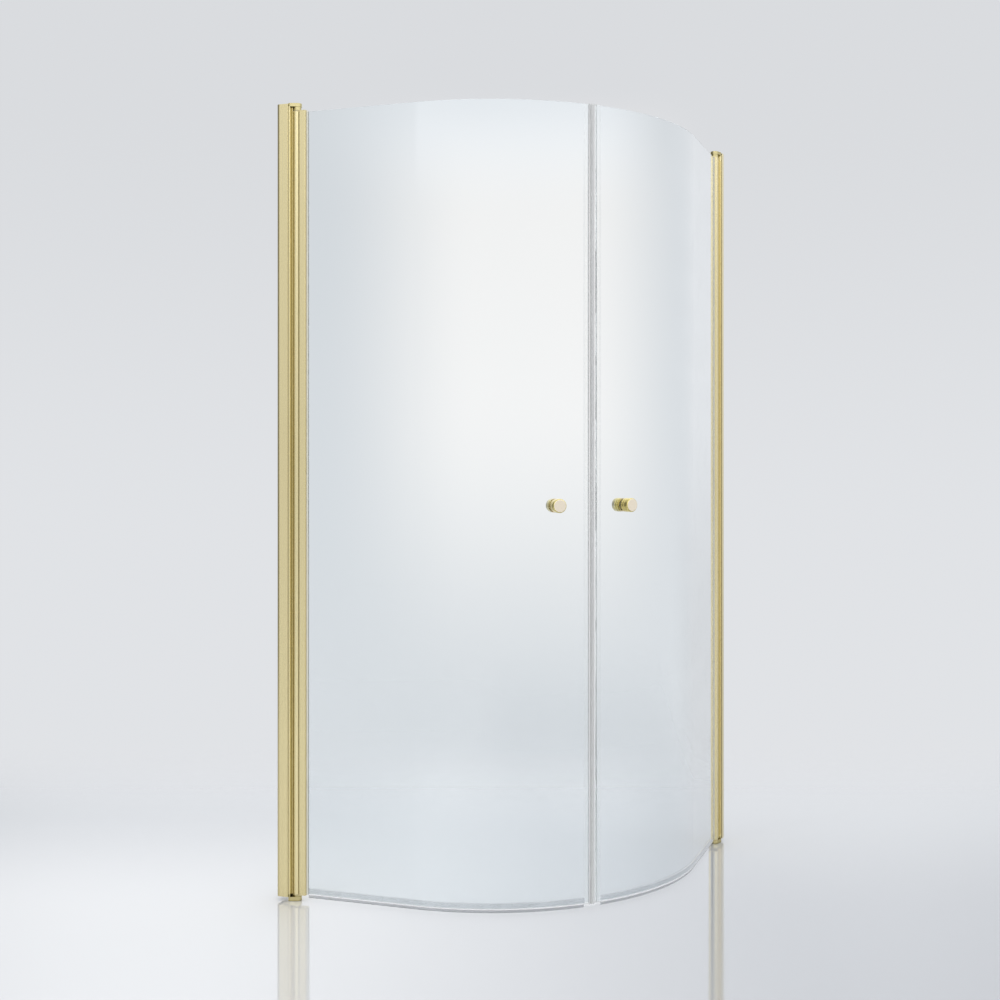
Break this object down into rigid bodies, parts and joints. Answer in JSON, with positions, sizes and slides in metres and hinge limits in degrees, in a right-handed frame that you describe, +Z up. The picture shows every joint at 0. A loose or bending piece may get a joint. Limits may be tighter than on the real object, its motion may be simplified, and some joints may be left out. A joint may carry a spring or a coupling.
{
  "type": "corner shower enclosure",
  "caption": "Quadrant corner shower enclosure: bent glass doors on pivots in gold wall profiles swing outward, with round knobs, magnet seals and drip strips.",
  "frame": {"origin": "floor level under the middle of the plan square", "axes": "+Z up; the room corner lies at -X +Y and the rounded glass corner points to +X -Y; the left wall is the plane X = -0.445 m and the right wall the plane Y = +0.445 m"},
  "size_m": [0.89, 0.89, 1.862],
  "materials": {
    "gold_extrusion": "polished, gold coloured anodising",
    "brass_fitting": "polished casting",
    "brass_knob": "polished, turned",
    "gold_cap": "gold coloured",
    "clear_glass": "clear toughened glass, polished edges",
    "clear_seal": "clear soft plastic",
    "pale_gasket": "pale, slightly yellow",
    "brown_nylon": "olive brown",
    "steel_screw": "stainless",
    "magnet": "pale grey plastic-bonded magnet"
  },
  "bodies": {
    "wall_frame": {"left_wall_profile": "gold_extrusion", "left_hinge_post": "gold_extrusion", "left_post_seal": "clear_seal", "left_clamp_screws": "steel_screw", "left_screw_caps": "gold_cap", "left_top_hinge_bracket": "brass_fitting", "left_bottom_hinge_bracket": "brass_fitting", "left_bracket_screws": "steel_screw", "left_top_pivot_pin": "brass_fitting", "left_bottom_pivot_pin": "brass_fitting", "right_wall_profile": "gold_extrusion", "right_hinge_post": "gold_extrusion", "right_post_seal": "clear_seal", "right_clamp_screws": "steel_screw", "right_screw_caps": "gold_cap", "right_top_hinge_bracket": "brass_fitting", "right_bottom_hinge_bracket": "brass_fitting", "right_bracket_screws": "steel_screw", "right_top_pivot_pin": "brass_fitting", "right_bottom_pivot_pin": "brass_fitting"},
    "left_door": {"left_door_profile": "gold_extrusion", "left_top_end_cap": "gold_cap", "left_bottom_end_cap": "gold_cap", "left_top_bush": "brown_nylon", "left_bottom_bush": "brown_nylon", "left_outer_glazing_gasket": "pale_gasket", "left_inner_glazing_gasket": "pale_gasket", "left_glass": "clear_glass", "left_magnet_seal": "clear_seal", "left_magnet_strip": "magnet", "left_bottom_seal": "clear_seal", "left_outer_knob": "brass_knob", "left_inner_knob": "brass_knob", "left_knob_stud": "steel_screw", "left_knob_sleeve": "brown_nylon", "left_knob_washers": "brown_nylon"},
    "right_door": {"right_door_profile": "gold_extrusion", "right_top_end_cap": "gold_cap", "right_bottom_end_cap": "gold_cap", "right_top_bush": "brown_nylon", "right_bottom_bush": "brown_nylon", "right_outer_glazing_gasket": "pale_gasket", "right_inner_glazing_gasket": "pale_gasket", "right_glass": "clear_glass", "right_magnet_seal": "clear_seal", "right_magnet_strip": "magnet", "right_bottom_seal": "clear_seal", "right_outer_knob": "brass_knob", "right_inner_knob": "brass_knob", "right_knob_stud": "steel_screw", "right_knob_sleeve": "brown_nylon", "right_knob_washers": "brown_nylon"}
  },
  "joints": [
    {"name": "left_door_swing", "type": "hinge", "parent": "wall_frame", "child": "left_door", "pos_m": [-0.3995, -0.427, 0], "axis": [0, 0, -1], "range_deg": [0, 90]},
    {"name": "right_door_swing", "type": "hinge", "parent": "wall_frame", "child": "right_door", "pos_m": [0.427, 0.3995, 0], "axis": [0, 0, 1], "range_deg": [0, 90]}
  ]
}
